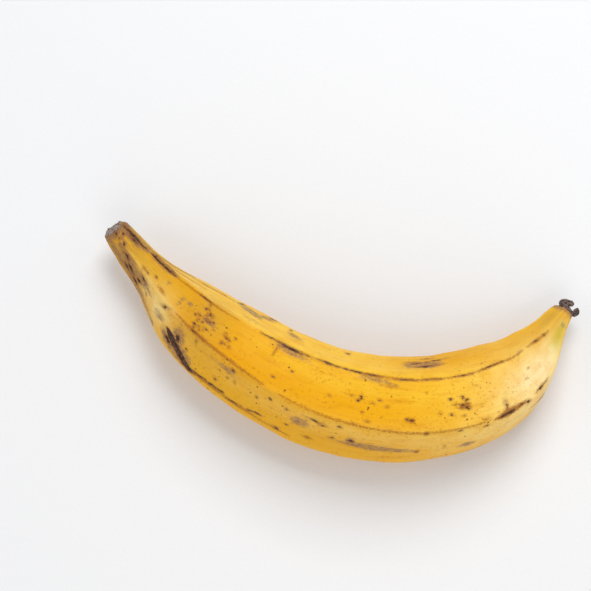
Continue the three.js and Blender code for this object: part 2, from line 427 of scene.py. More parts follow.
def draw_line(layer, stops):
    """A line through stops of (along, side, width). It thins to nothing past both ends."""
    along, side, width = np.array(stops, dtype=float).T
    side_here = np.interp(ALONG, along, side)
    half = np.interp(ALONG, along, width / 2)
    past = np.maximum(along[0] - ALONG, ALONG - along[-1])
    inside = half - np.abs(off_side(side_here)) - np.maximum(past, 0)
    layers[layer] = np.maximum(layers[layer], inside)


def draw_lines(layer, *lines):
    """Several lines in one layer."""
    for stops in lines:
        draw_line(layer, stops)


def draw_spots(layer, *spots):
    """Several ovals in one layer, each (along, side, length, width) and a turn if it has one."""
    for spot in spots:
        draw_spot(layer, *spot)


# %% Lines that follow the ridges
draw_lines(
    "dark",
    [(25, 1.01, 0.6), (30, 1.03, 1.4), (35, 1.05, 0.8), (40, 1.08, 1.4), (44, 1.1, 0.6)],
    [(62, 1.06, 0.2), (66, 1.06, 0.5), (69, 1.06, 0.2)],
    [(98, 1.02, 0.5), (108, 1.02, 0.6), (113, 1.03, 1.4), (119, 1.03, 1.2), (124, 1.02, 0.6)],
    [(124, 1.02, 0.6), (131, 1.01, 0.8), (140, 1.02, 0.6), (152, 1.02, 0.4)],
    [(153, 1.02, 0.3), (158, 1.03, 0.6), (162, 1.03, 0.4)],
    [(167, 1.03, 0.2), (172, 1.03, 0.7), (178, 1.03, 0.4), (186, 1.01, 0.8), (190, 1.01, 0.2)],
    [(196, 0.99, 0.3), (201, 0.99, 0.6), (205, 0.99, 0.2)],
    [(210, 0.95, 0.2), (218, 0.92, 0.7), (222, 0.9, 0.4)],
    [(71, 1.97, 0.3), (75, 1.97, 0.8), (79, 1.97, 0.2)],
    [(77, 2.82, 0.4), (84, 2.8, 1.2), (92, 2.78, 1.3), (96, 2.76, 0.6)],
    [(98, 2.82, 0.4), (103, 2.8, 0.6), (106, 2.78, 0.3)],
    [(108, 2.77, 0.5), (112, 2.73, 1.1), (115, 2.71, 0.4)],
)
draw_lines("smudge", [(24, 1.02, 2.0), (30, 1.03, 4.0), (40, 1.08, 4.0), (46, 1.1, 1.5)])
draw_lines(
    "rust",
    [(47, 1.12, 0.6), (56, 1.1, 0.9), (64, 1.06, 1.5), (70, 1.06, 1.6), (76, 1.06, 0.8), (86, 1.05, 0.3)],
    [(150, 1.02, 0.8), (178, 1.03, 0.9), (206, 0.98, 1.0), (218, 0.92, 1.6), (232, 0.92, 0.8)],
    [(60, 1.97, 0.8), (70, 1.97, 2.0), (80, 1.97, 1.9), (96, 1.96, 1.5), (112, 1.97, 0.9)],
    [(120, 1.98, 0.5), (152, 2.0, 0.8), (180, 2.02, 0.9), (204, 2.0, 0.6)],
    [(76, 2.84, 1.0), (92, 2.83, 1.4), (108, 2.82, 1.0), (128, 2.84, 0.5)],
)

# %% The stalk end: purple-black bands, streaks and freckles
draw_lines(
    "smudge",
    [(1, 1.32, 7.0), (8, 1.24, 7.5), (16, 1.16, 6.0), (24, 1.05, 3.0)],
    [(10, 2.14, 2.5), (18, 2.26, 5.5), (27, 2.38, 6.5), (36, 2.26, 5.5), (42, 2.3, 1.0)],
    [(2, 2.6, 3.0), (14, 2.7, 5.0), (34, 2.8, 4.0), (50, 2.9, 2.0)],
    [(8, 0.8, 2.5), (28, 0.6, 3.5), (48, 0.35, 2.0)],
)
draw_lines(
    "dark",
    [(2, 1.24, 1.0), (9, 1.16, 1.6), (16, 1.1, 1.6), (22, 1.04, 0.6)],
    [(48, 0.5, 0.2), (57, 0.42, 0.8), (68, 0.34, 0.6), (76, 0.3, 0.2)],
)
draw_spots(
    "dark",
    (13, 1.3, 6, 1.4, -8), (3, 1.97, 2.0, 1.2, 9), (6, 1.63, 2.4, 1.5, 9),
    (7.5, 1.97, 2.2, 1.2, 9), (12.5, 1.95, 2.4, 1.3, 9), (18.5, 2.2, 4.5, 1.4, 9),
    (23.5, 2.42, 5.5, 1.8, 9), (21, 2.6, 4.0, 1.6, 9), (31, 2.46, 3.6, 2.0, 9),
    (33.5, 2.18, 3.2, 1.3, 9), (29, 2.7, 5.0, 1.5, 9), (39, 2.5, 1.6, 1.4, 9),
    (33, 1.87, 1.5, 0.9, 9), (38, 1.7, 1.1, 0.8, 9), (53.5, 2.09, 4.6, 1.2, -28),
)
draw_lines(
    "rust",
    [(20, 0.7, 0.6), (34, 0.5, 1.4), (46, 0.3, 0.8)],
    [(27, 0.88, 0.5), (44, 0.84, 0.9), (60, 0.74, 0.5)],
)
draw_spots(
    "smudge",
    (16.5, 1.46, 4.0, 2.0), (9, 1.85, 7.0, 2.4), (45.5, 1.5, 2.4, 2.4), (57.5, 1.64, 1.8, 5.0),
    (52, 2.45, 7.0, 5.0), (62, 1.5, 2.4, 2.6),
)
draw_spots("rust", (46, 1.87, 5, 2), (30, 1.88, 3, 1.6))

# %% The big bruise low on the outer side
draw_lines(
    "dark",
    [(59, 2.5, 1.8), (61, 2.54, 4.6), (64, 2.6, 6.4), (67, 2.67, 5.0), (70, 2.74, 5.6)],
    [(70, 2.74, 5.6), (73, 2.82, 4.8), (77, 2.87, 3.0), (80, 2.88, 0.8)],
)
draw_spots("dark", (61.5, 2.72, 5.5, 2.4, 20), (66.5, 2.44, 2.6, 5.0))
draw_spots("smudge", (66.5, 2.36, 7.0, 12), (67, 2.7, 22, 11, 10))

# %% Bruises on the outer side
draw_spots(
    "smudge",
    (93.5, 2.15, 11, 2.8, 3), (131, 2.36, 7.5, 7), (152.2, 2.42, 4.0, 5.0), (197, 2.6, 6, 4),
)
draw_lines(
    "smudge",
    [(128, 2.5, 0.5), (131, 2.36, 2.0), (134, 2.2, 0.5)],
    [(147, 2.5, 1.0), (156, 2.52, 5.0), (168, 2.54, 5.5), (177, 2.58, 1.5)],
    [(224, 2.3, 1.0), (230, 2.45, 3.0), (236, 2.6, 1.0)],
)
draw_spots(
    "dark",
    (136.8, 2.15, 4.6, 1.2, 6), (140, 2.21, 1.6, 0.9), (152.2, 2.42, 1.4, 2.0),
    (214, 1.87, 1.0, 5.0, 6), (222.7, 2.0, 1.0, 0.8),
)
draw_lines(
    "dark",
    [(209.5, 2.0, 0.4), (212, 1.99, 1.5), (215, 1.98, 2.0), (217.5, 1.96, 1.0), (221, 1.95, 0.5)],
    [(227.5, 1.94, 0.3), (229.5, 1.94, 0.8), (233, 1.95, 0.6), (235, 1.96, 0.2)],
    [(227.5, 2.38, 0.3), (229, 2.42, 1.1), (232, 2.6, 0.8), (234, 2.66, 0.3)],
)
draw_lines("rust", [(208, 2.01, 1.2), (213, 1.97, 4.4), (218, 1.95, 3.0), (222, 1.94, 1.0)])

# %% Bruises on the upper side
draw_spots(
    "smudge",
    (115, 1.08, 17, 4.4, 4), (77, 0.27, 4.5, 5), (85, 0.4, 16, 7, 14), (92.5, 0.26, 8, 5),
    (91, 0.78, 8, 2), (111, 0.42, 9, 5, 25), (142, 0.3, 4, 3), (184, 0.46, 20, 9),
    (160, 1.1, 12, 3.0, 6),
)
draw_spots(
    "dark",
    (76.5, 0.2, 2.0, 2.6), (94.5, 0.13, 4, 1.6), (106.4, 0.19, 1.8, 2.2), (142, 0.26, 1.8, 1.3),
    (184, 0.53, 8, 0.9, -6), (182, 0.58, 5, 0.9, -6), (187, 0.5, 4, 0.9, -6),
    (181, 0.4, 5, 0.9, -6), (178, 0.33, 4, 0.9, -6), (190.5, 0.3, 6, 0.9, -6),
    (187, 0.2, 4, 0.9, -6), (166, 1.17, 2.4, 0.9), (234, 0.9, 1.5, 0.8), (244, 0.94, 2.2, 1.0),
    (250.2, 0.99, 1.3, 1.2),
)
draw_lines("rust", [(238, 0.92, 0.6), (246, 0.95, 1.2), (254, 1.02, 0.8)])

# %% Scars and a bruise on the upper outer face
draw_spots(
    "rust",
    (75, 1.5, 3.0, 1.4), (70.5, 1.84, 2.6, 1.4), (86, 1.57, 4.0, 2.0), (109, 1.2, 1.2, 6.0),
    (101, 1.98, 2.4, 1.4), (159, 1.55, 2.0, 1.0), (175, 1.8, 3.0, 2.2), (197.5, 1.6, 5.5, 3.4),
    (194, 1.54, 3.0, 1.6), (205, 1.24, 1.2, 0.9), (230.4, 1.34, 1.2, 1.2), (227, 1.52, 1.2, 1.0),
    (135, 2.7, 3.6, 2.2), (99.6, 2.3, 1.2, 2.4), (178, 2.58, 1.2, 2.2), (188.2, 2.5, 1.0, 2.6),
    (204.6, 1.95, 2.6, 1.6), (167, 2.0, 2.0, 1.2),
)
draw_spots("smudge", (75, 1.5, 7, 5), (263, 1.66, 2.2, 3.2))

# %% Single freckles: along, side, length, width
EATEN = 0.55  # millimetres that the ragged edge takes off a freckle
FRECKLES = [
    (75.2, 1.37, 0.6, 1.0), (73, 1.79, 0.6, 0.6), (72.6, 1.64, 0.5, 0.6), (72.4, 2.47, 0.6, 0.7),
    (90, 2.6, 0.6, 0.7), (95.8, 2.33, 0.7, 0.9), (97.4, 2.08, 0.7, 0.6), (111, 2.31, 0.5, 0.9),
    (117, 2.16, 0.6, 0.6), (125, 2.19, 0.7, 0.6), (126, 2.6, 0.6, 0.5), (122.3, 2.81, 1.2, 0.7),
    (120.8, 1.45, 0.7, 0.6), (114.3, 1.73, 0.6, 0.5), (144.6, 2.47, 0.5, 0.9),
    (162, 1.47, 0.6, 0.5), (165.3, 1.58, 0.5, 0.4), (157.8, 1.9, 0.7, 0.6),
    (173.6, 1.78, 0.7, 0.6), (175.6, 1.79, 0.8, 0.9), (196.3, 1.58, 0.5, 0.5),
    (198.4, 1.63, 0.6, 0.5), (199.4, 1.56, 0.4, 0.4), (187, 1.7, 0.5, 0.6),
    (191.4, 1.73, 0.6, 0.5), (192, 1.42, 0.7, 0.4), (181, 2.03, 0.7, 0.5), (194, 2.06, 0.6, 0.5),
    (204.6, 2.1, 0.6, 0.5), (222.8, 1.98, 0.7, 0.6), (177.6, 2.63, 0.7, 0.8),
]
for along, side, length, width in FRECKLES:
    draw_spot("dark", along, side, length + EATEN, width + EATEN)

# %% Clusters of specks: how many, along, side, spread in millimetres
SPECK_CLUSTERS = [(34, 74, 1.55, 3.2), (12, 86, 1.66, 2.2), (9, 197.5, 1.6, 1.6), (10, 152, 1.8, 5.0)]
SPECK_SIZE = (0.1, 0.7)
ROUND_SPREAD = 0.07  # sides of the fruit for each millimetre of spread along it
speck_chance = np.random.default_rng(5)
for count, along, side, spread in SPECK_CLUSTERS:
    for _ in range(count):
        speck_along = along + spread * speck_chance.normal()
        speck_side = side + ROUND_SPREAD * spread * speck_chance.normal()
        speck = EATEN + speck_chance.uniform(*SPECK_SIZE)
        draw_spot("dark", speck_along, speck_side, speck, speck)

# %% Bruises round both ends: side, length, width
END_BRUISES = [(0.4, 9, 16), (1.0, 8, 8), (2.3, 10, 14), (3.4, 9, 18), (4.5, 9, 18)]
for side, length, width in END_BRUISES:
    draw_spot("smudge", 1, side, length, width)
    draw_spot("smudge", END - 1, side, 0.5 * length, width)

# %% Marks on the far side and underneath, scattered with a fixed seed
FAR_SIDES = (3.15, 5.05)
FAR_MARKS = {"dark": 26, "rust": 34, "smudge": 9}
FAR_SIZE = {"dark": (0.6, 3.4), "rust": (1.0, 5.0), "smudge": (6.0, 15.0)}
FAR_SLENDER = (0.25, 0.7)  # width against length
FAR_TURN = (-20, 20)
chance = np.random.default_rng(17)
for layer, count in FAR_MARKS.items():
    for _ in range(count):
        length = chance.uniform(*FAR_SIZE[layer])
        width = length * chance.uniform(*FAR_SLENDER)
        place = chance.uniform(25, END - 15), chance.uniform(*FAR_SIDES)
        draw_spot(layer, *place, length, width, turn=chance.uniform(*FAR_TURN))
draw_lines(
    "rust",
    [(58, 0.0, 0.4), (96, 0.01, 1.0), (150, -0.01, 0.8), (214, 0.0, 0.5)],
    [(60, 3.99, 0.5), (130, 4.0, 1.0), (205, 4.0, 0.5)],
)
draw_lines(
    "dark",
    [(84, 4.98, 0.3), (93, 4.99, 1.2), (108, 5.0, 0.8), (121, 5.0, 0.3)],
    [(70, 3.98, 0.4), (88, 4.0, 1.3), (112, 4.01, 0.6)],
    [(150, 3.98, 0.3), (163, 4.0, 1.0), (185, 4.0, 0.4)],
    [(168, 3.02, 0.3), (178, 3.0, 1.0), (196, 3.0, 0.4)],
)
for name, layer in layers.items():
    print("%s covers %.1f%% of the peel" % (name, 100 * (layer > 0).mean()))

# %% [markdown]
# ## Moving the skin
#
# Each kind of relief is one height in millimetres at every point of the grid. They are added up,
# and the skin moves by the sum along its own normals.

# %% Heights, in millimetres
CREST_HEIGHT, CREST_WIDTH = 0.3, 1.5
DENT_SIZE, DENT_DEPTH = 16, 0.3
RIPPLE_SIZE, RIPPLE_DEPTH = 4.5, 0.06
WRINKLE_PITCH, WRINKLE_STRETCH, WRINKLE_DEPTH = 2.2, 9, 0.42
SUNKEN = {"dark": 0.22, "rust": -0.04, "smudge": 0.08}
MARK_EDGE = (-0.8, 1.2)  # stored distances over which a mark sinks in
DRY_NECK = (8, 62)  # distances from the cut over which the dried neck turns into fresh peel
DRY_TIP = (END - 26, END - 2)
TIP_SHARE = 0.4  # how wrinkled the tip is against the neck

near_stalk = 1 - smoothstep(*DRY_NECK, ALONG)
near_tip = smoothstep(*DRY_TIP, ALONG)
to_ridge = np.abs(off_side(np.round(SIDE)))
crest = np.exp(-((to_ridge / CREST_WIDTH) ** 2)) * (0.75 + 0.5 * rough(skin, 18, seed=3))
height = CREST_HEIGHT * crest * (1 + 0.8 * near_stalk)
height += DENT_DEPTH * rough(skin, DENT_SIZE, seed=1)
height += RIPPLE_DEPTH * rough(skin, RIPPLE_SIZE, seed=2)

turn = 2 * math.pi * SIDE / SIDES
round_mm = (SIDE_WIDTH * SIDES / (2 * math.pi)) * MM
along_mm = ALONG * MM / WRINKLE_STRETCH
stretched = np.stack([np.cos(turn) * round_mm, np.sin(turn) * round_mm, along_mm], axis=2)
wrinkles = rough(stretched, WRINKLE_PITCH, depth=2, seed=5)
height += WRINKLE_DEPTH * wrinkles * np.maximum(near_stalk**1.5, TIP_SHARE * near_tip)
for name, depth in SUNKEN.items():
    height -= depth * smoothstep(*MARK_EDGE, layers[name])
print("relief from %.2f to %.2f mm" % (height.min(), height.max()))

# %% [markdown]
# Where the stalk bent as the bunch was cut down, the peel split along the upper ridge. The split
# is a groove with one lip standing up beside it.

# %% The split on the upper ridge, by the stalk
SPLIT = [(26, 1.03, 1.0), (31, 1.04, 1.5), (38, 1.07, 1.5), (44, 1.1, 0.8)]
SPLIT_DEPTH = 0.7
LIP_HEIGHT, LIP_AWAY, LIP_WIDTH = 0.55, 1.2, 0.7

split_along, split_side, split_width = np.array(SPLIT).T
open_here = smoothstep(split_along[0] - 2, split_along[0] + 3, ALONG)
open_here = open_here * (1 - smoothstep(split_along[-1] - 4, split_along[-1] + 2, ALONG))
off_split = off_side(np.interp(ALONG, split_along, split_side))
half_split = np.interp(ALONG, split_along, split_width) / 2
height -= SPLIT_DEPTH * open_here * np.exp(-((off_split / half_split) ** 2))
height += LIP_HEIGHT * open_here * np.exp(-(((off_split + LIP_AWAY) / LIP_WIDTH) ** 2))

# %% Move the skin, but not where it lies pressed on the table
PRESSED = (0.2 * MM, 1.6 * MM)  # heights above the table over which the skin comes free of it
lying = 1 - smoothstep(*PRESSED, skin[:, :, 2])
height = height * (1 - lying)
skin = skin + outward(skin) * (height * MM)[:, :, None]
skin[:, :, 2] = np.maximum(skin[:, :, 2], 0)

# %% [markdown]
# ## Closing the two ends
#
# The knife left a slanted face on the stalk. It has dried: a low swelling runs round inside the rim
# and the middle, where the soft fibres were, has sunk. The flower's seat at the other end is a
# shallow cup. Both are rings of points drawn in towards a middle point, so the skin stays one
# closed surface with no hole at its poles.

# %% Rings over an end
CUT_SHARES = [0.97, 0.92, 0.86, 0.79, 0.71, 0.62, 0.52, 0.42, 0.31, 0.2, 0.1]
SEAT_SHARES = [0.93, 0.82, 0.68, 0.52, 0.34, 0.16]
DOME, CUT_ROUGHNESS = 1.0, 0.4
CURL, CURL_AT, CURL_WIDTH = 0.5, 0.74, 0.16
SINK, SINK_WIDTH = 0.9, 0.4
CUP_DEPTH, SEAT_ROUGHNESS = 0.35, 0.05
END_LUMPS = 1.6
RIM_LIFT, RIM_EVENNESS, RIM_LUMPS = 0.45, 0.6, 1.8


def cap_rings(edge, axis, shares, rise, rough_depth, seed):
    """Rings inside an edge ring. rise gives millimetres out along the axis at each share."""
    middle = edge.mean(axis=0)
    rings = np.stack([middle + (edge - middle) * share for share in shares])
    lumps = rough(rings, END_LUMPS, seed=seed)
    out = np.array([rise(share) for share in shares])[:, None] + rough_depth * lumps
    rings = rings + np.array(axis) * (out * MM)[:, :, None]
    return rings, rings[-1].mean(axis=0)


def cut_rise(share):
    dome = DOME * (1 - share**4)
    curl = CURL * math.exp(-(((share - CURL_AT) / CURL_WIDTH) ** 2))
    return dome + curl - SINK * math.exp(-((share / SINK_WIDTH) ** 2))


def seat_rise(share):
    return -CUP_DEPTH * (1 - share**2)


cut_rings, cut_pole = cap_rings(skin[0], cut_normal, CUT_SHARES, cut_rise, CUT_ROUGHNESS, seed=8)
seat_rings, seat_pole = cap_rings(skin[-1], seat_normal, SEAT_SHARES, seat_rise, SEAT_ROUGHNESS, seed=9)
rim_lift = RIM_LIFT * (RIM_EVENNESS + rough(skin[0], RIM_LUMPS, seed=11)) * MM
skin[0] += np.array(cut_normal) * rim_lift[:, None]
grid = np.concatenate([cut_rings[::-1], skin, seat_rings])
print("rings in all:", len(grid))

# %% One closed mesh
ROWS = len(grid)
CUT_ROWS, SEAT_ROWS = len(CUT_SHARES), len(SEAT_SHARES)


def skin_faces():
    """Quads between the rings, and a fan of triangles at each pole."""
    faces = []
    for row in range(ROWS - 1):
        here, there = row * COLUMNS, (row + 1) * COLUMNS
        for column in range(COLUMNS):
            beside = (column + 1) % COLUMNS
            faces.append((here + column, here + beside, there + beside, there + column))
    last, cut_index, seat_index = (ROWS - 1) * COLUMNS, ROWS * COLUMNS, ROWS * COLUMNS + 1
    for column in range(COLUMNS):
        beside = (column + 1) % COLUMNS
        faces.append((cut_index, beside, column))
        faces.append((seat_index, last + column, last + beside))
    return faces


peel_mesh = bpy.data.meshes.new("plantain_skin")
peel_points = np.concatenate([grid.reshape(-1, 3), [cut_pole, seat_pole]])
peel_mesh.from_pydata(peel_points.tolist(), [], skin_faces())
turned = bmesh.new()
turned.from_mesh(peel_mesh)
bmesh.ops.recalc_face_normals(turned, faces=turned.faces)
turned.to_mesh(peel_mesh)
print("closed:", all(edge.is_manifold for edge in turned.edges))
print("volume: %.0f cm3" % (turned.calc_volume() * 1e6))
turned.free()
peel_mesh.shade_smooth()
peel_piece = bpy.data.objects.new("plantain_skin", peel_mesh)
bpy.context.scene.collection.objects.link(peel_piece)

# %% [markdown]
# ## The ground colour
#
# Under the marks a ripe plantain isn't one yellow. It is deep gold along the middle, pale where a
# neighbour shaded it, tan on the lower side, olive where the stalk begins and still a little green
# by the flower. These washes are soft ovals of named colours, laid over each other in order and
# stored on the mesh. Two thin pale washes along the ridges are painted highlights. The fruit's five
# faces grew with different amounts of light, and their colours change quickly at the ridges, so
# each face gets a wash of its own first.

# %% Paints, as linear red, green and blue
PAINTS = {
    "gold": (0.83, 0.385, 0.0),
    "lemon": (0.97, 0.62, 0.05),
    "cream": (0.98, 0.74, 0.27),
    "pale cream": (0.99, 0.82, 0.46),
    "orange": (0.72, 0.26, 0.005),
    "tan": (0.8, 0.42, 0.015),
    "olive": (0.52, 0.37, 0.06),
    "green": (0.55, 0.52, 0.06),
    "ochre": (0.62, 0.31, 0.02),
    "dry brown": (0.16, 0.1, 0.06),
}

# %% Lay the washes
ground = np.tile(np.array(PAINTS["gold"]), (len(row_at), COLUMNS, 1))


def wash(paint, amount, along, side, length, width):
    """A soft oval of one paint. Its width is counted in sides of the fruit."""
    u = (ALONG - along) / (length / 2)
    v = ((SIDE - side + SIDES / 2) % SIDES - SIDES / 2) / (width / 2)
    cover = amount * np.exp(-(u**2 + v**2))[:, :, None]
    ground[:] = ground * (1 - cover) + np.array(PAINTS[paint]) * cover


def wash_face(paint, amount, side, soft=0.07):
    """One paint over the whole face between a ridge and the next."""
    cover = amount * smoothstep(side - soft, side + soft, SIDE)
    cover = (cover * (1 - smoothstep(side + 1 - soft, side + 1 + soft, SIDE)))[:, :, None]
    ground[:] = ground * (1 - cover) + np.array(PAINTS[paint]) * cover


wash_face("lemon", 0.8, 0)
wash_face("tan", 0.85, 2)
wash_face("tan", 0.7, 3)
wash_face("tan", 0.6, 4)
wash("cream", 0.25, 150, 2.2, 120, 0.5)
wash("gold", 1.0, 205, 0.45, 76, 1.2)
wash("ochre", 0.3, 200, 0.2, 60, 0.6)
wash("cream", 1.0, 47, 2.3, 30, 1.1)
# Painted highlights: two thin pale lines, along the outer ridge by the neck and along the upper ridge,
# where light catches the crests.
wash("cream", 0.75, 38, 1.98, 66, 0.12)
wash("cream", 0.5, 62, 0.95, 60, 0.12)
wash("lemon", 0.5, 150, 1.25, 110, 0.5)
wash("lemon", 0.7, 210, 1.5, 60, 1.6)
wash("cream", 1.0, 236, 1.6, 54, 1.4)
wash("pale cream", 0.8, 236, 1.65, 36, 0.9)
wash("cream", 0.5, 215, 2.5, 70, 1.0)
wash("orange", 0.4, 80, 1.86, 56, 0.36)
wash("orange", 0.3, 66, 1.14, 40, 0.3)
wash("olive", 0.5, 22, 1.6, 60, 1.2)
wash("ochre", 0.55, 20, 2.6, 34, 1.2)
wash("olive", 0.4, 20, 0.5, 70, 1.2)
wash("ochre", 0.5, 252, 0.6, 40, 0.9)
wash("green", 0.9, 257, 1.6, 16, 0.7)
wash("dry brown", 0.3, 263, 0.6, 12, 0.8)
wash("green", 0.5, 262, 3.2, 22, 1.8)
wash("olive", 0.45, 75, 1.45, 18, 1.2)
wash("ochre", 0.7, 70, 1.5, 28, 1.3)
wash("ochre", 0.35, 155, 2.55, 50, 0.6)
wash("dry brown", 0.65, -2, 1.0, 13, 9.0)
wash("dry brown", 0.8, END + 1, 1.0, 5, 9.0)

# %% Store what the material needs on the mesh: the ground and the marks first


def whole_piece(values, cut_value, seat_value):
    """Grid values with those of the end rings and poles, in the order of the mesh's points."""
    values = values.reshape(len(row_at), COLUMNS, -1)
    cut = np.broadcast_to(cut_value, (CUT_ROWS, COLUMNS, values.shape[2]))
    seat = np.broadcast_to(seat_value, (SEAT_ROWS, COLUMNS, values.shape[2]))
    flat = np.concatenate([cut, values, seat]).reshape(-1, values.shape[2])
    poles = np.stack([np.broadcast_to(v, values.shape[2]) for v in (cut_value, seat_value)])
    return np.concatenate([flat, poles])


def store(name, kind, values):
    """One named value for every point of the skin."""
    attribute = peel_mesh.attributes.new(name, kind, "POINT")
    field = {"FLOAT": "value", "FLOAT_COLOR": "color", "FLOAT_VECTOR": "vector"}[kind]
    attribute.data.foreach_set(field, np.ascontiguousarray(values, dtype=np.float32).ravel())


coloured = whole_piece(ground, ground[0].mean(axis=0), PAINTS["dry brown"])
store("ground", "FLOAT_COLOR", np.hstack([coloured, np.ones((len(coloured), 1))]))
for name, layer in layers.items():
    store(name, "FLOAT", whole_piece(layer, FAR_OUTSIDE, FAR_OUTSIDE))

# %% Where the cut and the weather have dried the skin
WEATHERED_TIP = 0.3  # how weathered the tip is against the neck
FRESH_RIM, FRESH_SIDE, FRESH_WIDTH = 0.9, 1.05, 0.45  # the upper ridge's peel reaches over the rim
CUT_SPREAD = (0.2, 2.2)  # how far the cut's dry look comes down the outside of the rim
fresh_rim = FRESH_RIM * np.exp(-(((SIDE - FRESH_SIDE) / FRESH_WIDTH) ** 2))
cut_face = whole_piece((1 - smoothstep(*CUT_SPREAD, ALONG)) * (1 - fresh_rim), 1.0, 0.0)
inward = 1 - np.repeat(CUT_SHARES[::-1], COLUMNS)
cut_face[: CUT_ROWS * COLUMNS, 0] = np.clip(1 - np.tile(fresh_rim[0], CUT_ROWS) + 3 * inward, 0, 1)
store("cut_face", "FLOAT", cut_face)
store("weathered", "FLOAT", whole_piece(np.maximum(near_stalk**1.6, WEATHERED_TIP * near_tip), 1.0, 1.0))
cut_depth = whole_piece(np.zeros_like(ALONG), 1.0, 0.0)
cut_depth[: CUT_ROWS * COLUMNS, 0] = inward
store("cut_depth", "FLOAT", cut_depth)

# %% Where the freckles stand thick
FRECKLED_FROM, FRECKLED_TO = (45, 75), (205, 240)
INNER_FACE_SHARE, PATCH_STRENGTH = 0.35, 0.8
FRECKLED_PATCHES = [  # along, side, reach in millimetres
    (76, 1.5, 14), (86, 1.6, 8), (197, 1.6, 9), (150, 1.75, 10), (20, 1.5, 20), (100, 2.4, 22),
]
freckled = smoothstep(*FRECKLED_FROM, ALONG) * (1 - smoothstep(*FRECKLED_TO, ALONG))
freckled = freckled * (INNER_FACE_SHARE + (1 - INNER_FACE_SHARE) * smoothstep(0.9, 1.2, SIDE))
for along, side, patch_reach in FRECKLED_PATCHES:
    away = np.hypot(ALONG - along, off_side(side)) / patch_reach
    freckled = freckled + PATCH_STRENGTH * np.exp(-(away**2))
store("freckled", "FLOAT", whole_piece(np.minimum(freckled, 1), 0.0, 0.0))

# %% Coordinates for the grain, in millimetres: straightened along the fruit, plain on the cut
GRAIN_ROUND = 24  # millimetres: the fruit's girth laid on a circle of this radius
grain = np.stack([np.cos(turn) * GRAIN_ROUND, np.sin(turn) * GRAIN_ROUND, ALONG], axis=2)
cut_at = grid[:CUT_ROWS].reshape(CUT_ROWS, COLUMNS, 3) / MM
grain_all = whole_piece(grain, 0.0, 0.0)
grain_all[: CUT_ROWS * COLUMNS] = cut_at.reshape(-1, 3)
store("grain", "FLOAT_VECTOR", grain_all)
print("stored on the skin:", sorted(attribute.name for attribute in peel_mesh.attributes))

# %% A map of the peel: across is round the fruit, up is along it
peel_map = peel_mesh.uv_layers.new(name="peel_map")
loop_point = np.zeros(len(peel_mesh.loops), dtype=np.int64)
peel_mesh.loops.foreach_get("vertex_index", loop_point)
point_row = np.minimum(loop_point // COLUMNS, ROWS - 1)
u = np.where(loop_point < ROWS * COLUMNS, (loop_point % COLUMNS) / COLUMNS, 0.5)
poly_start = np.zeros(len(peel_mesh.polygons), dtype=np.int64)
peel_mesh.polygons.foreach_get("loop_start", poly_start)
poly_size = np.diff(np.append(poly_start, len(loop_point)))
largest = np.repeat(np.maximum.reduceat(u, poly_start), poly_size)
u = np.where((largest > 0.9) & (u < 0.1), u + 1, u)
map_v = np.concatenate([np.zeros(CUT_ROWS), row_at / LENGTH, np.ones(SEAT_ROWS)])[point_row]
peel_map.data.foreach_set("uv", np.stack([u, map_v], axis=1).astype(np.float32).ravel())
print("triangles in the skin:", sum(size - 2 for size in poly_size))

# %% [markdown]
# ## Writing shader maths as sums
#
# A material is a network of nodes, and a network written link by link is hard to read. The small
# class below wraps one output of a node, so that `1 - mask * 0.5` adds the Math nodes it needs.
# Colours never go through Math nodes, which would turn them grey; they are mixed.

# %% A wire and the recipe it belongs to


class Wire:
    """One output of a node, which can be used in sums with numbers and other wires."""

    def __init__(self, recipe, socket):
        self.recipe = recipe
        self.socket = socket

    def math(self, operation, first, second):
        return self.recipe.add("Math", {"operation": operation}, {0: first, 1: second})

    def __add__(self, other):
        return self.math("ADD", self, other)

    def __sub__(self, other):
        return self.math("SUBTRACT", self, other)

    def __rsub__(self, other):
        return self.math("SUBTRACT", other, self)

    def __mul__(self, other):
        return self.math("MULTIPLY", self, other)

    __radd__ = __add__
    __rmul__ = __mul__


